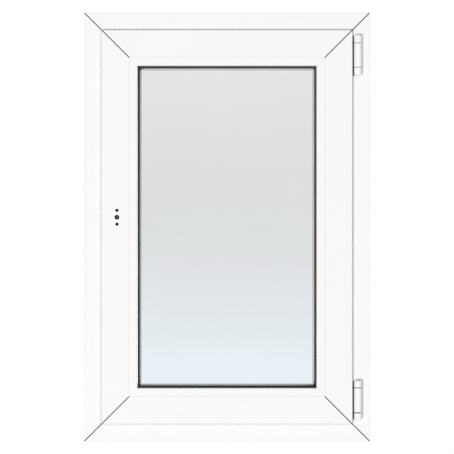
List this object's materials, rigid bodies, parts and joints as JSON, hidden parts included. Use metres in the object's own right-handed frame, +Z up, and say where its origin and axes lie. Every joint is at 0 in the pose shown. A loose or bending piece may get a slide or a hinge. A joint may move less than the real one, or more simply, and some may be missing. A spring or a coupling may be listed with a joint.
{
  "type": "casement window",
  "caption": "White single-sash casement window that turns inwards on side hinges or tilts in at the top, with sealed double glazing and a hidden locking drive.",
  "frame": {"origin": "middle of the frame's bottom face, half way through the frame's depth", "axes": "+Z up, +Y outdoors, +X to the right seen from the room"},
  "size_m": [0.6, 0.0956, 0.9],
  "materials": {
    "pvc_white": "satin white",
    "hinge_white": "white powder coat",
    "rubber_black": "matt black",
    "glass_clear": "clear float",
    "spacer_aluminium": "mill",
    "steel_galvanised": "galvanised",
    "zinc_cast": "die-cast",
    "spindle_dark": "blackened",
    "packer_blue": "moulded"
  },
  "bodies": {
    "frame": {"frame_head": "pvc_white", "frame_sill": "pvc_white", "frame_jamb_left": "pvc_white", "frame_jamb_right": "pvc_white", "frame_steel_head": "steel_galvanised", "frame_steel_sill": "steel_galvanised", "frame_steel_left": "steel_galvanised", "frame_steel_right": "steel_galvanised", "frame_seal": "rubber_black", "drain_cap_left": "pvc_white", "drain_cap_right": "pvc_white", "striker_left_lower": "zinc_cast", "striker_left_upper": "zinc_cast", "striker_top": "zinc_cast", "striker_bottom": "zinc_cast", "striker_tilt": "zinc_cast", "corner_bearing": "hinge_white", "stay_bearing": "hinge_white", "stay_pin": "steel_galvanised"},
    "turn_pivot": {"stay_bush": "steel_galvanised"},
    "spindle": {"spindle_nut": "spindle_dark"},
    "rod_left": {"drive_rod_left": "steel_galvanised"},
    "rod_top": {"drive_rod_top": "steel_galvanised"},
    "rod_bottom": {"drive_rod_bottom": "steel_galvanised"},
    "stay_arm": {"stay_arm": "hinge_white"},
    "sash": {"sash_top": "pvc_white", "sash_bottom": "pvc_white", "sash_stile_left": "pvc_white", "sash_stile_right": "pvc_white", "bead_top": "pvc_white", "bead_bottom": "pvc_white", "bead_left": "pvc_white", "bead_right": "pvc_white", "corner_band": "hinge_white", "corner_band_cap": "hinge_white", "sash_seal": "rubber_black", "bead_gasket": "rubber_black", "outer_glass_gasket": "rubber_black", "glass_pane_inner": "glass_clear", "glass_pane_outer": "glass_clear", "glass_spacer": "spacer_aluminium", "sash_steel_top": "steel_galvanised", "sash_steel_bottom": "steel_galvanised", "sash_steel_left": "steel_galvanised", "sash_steel_right": "steel_galvanised", "faceplate_left": "steel_galvanised", "faceplate_top": "steel_galvanised", "faceplate_bottom": "steel_galvanised", "corner_drive_top": "steel_galvanised", "corner_drive_bottom": "steel_galvanised", "corner_pivot_pin": "steel_galvanised", "gearbox_case": "zinc_cast", "gearbox_cover": "zinc_cast", "packer_bottom_left": "packer_blue", "packer_bottom_right": "packer_blue", "packer_hinge_side": "packer_blue", "packer_handle_side": "packer_blue"}
  },
  "joints": [
    {"name": "sash_turn", "type": "hinge", "parent": "frame", "child": "turn_pivot", "pos_m": [0.2745, -0.0465, 0.052], "axis": [0, 0, 1], "range_deg": [0, 95]},
    {"name": "sash_tilt", "type": "hinge", "parent": "turn_pivot", "child": "sash", "pos_m": [0.2745, -0.0465, 0.052], "axis": [1, 0, 0], "range_deg": [0, 8]},
    {"name": "stay_swing", "type": "hinge", "parent": "turn_pivot", "child": "stay_arm", "pos_m": [0.2745, -0.0465, 0.81], "axis": [0, 0, 1], "range_deg": [0, 21.5]},
    {"name": "rod_left_slide", "type": "slide", "parent": "sash", "child": "rod_left", "axis": [0, 0, -1], "range_m": [-0.015, 0.015]},
    {"name": "handle_spindle", "type": "hinge", "parent": "sash", "child": "spindle", "pos_m": [-0.2305, -0.0255, 0.4705], "axis": [0, -1, 0], "range_deg": [-91, 91]},
    {"name": "rod_top_slide", "type": "slide", "parent": "sash", "child": "rod_top", "axis": [-1, 0, 0], "range_m": [-0.0152, 0.0152]},
    {"name": "rod_bottom_slide", "type": "slide", "parent": "sash", "child": "rod_bottom", "axis": [1, 0, 0], "range_m": [-0.0152, 0.0152]}
  ],
  "couplings": [
    {"joint": "handle_spindle", "follows": "rod_left_slide", "rad_per_m": 104.72},
    {"joint": "rod_top_slide", "follows": "rod_left_slide", "ratio": 1},
    {"joint": "rod_bottom_slide", "follows": "rod_left_slide", "ratio": 1},
    {"joint": "stay_swing", "follows": "sash_tilt", "ratio": 2.672}
  ]
}
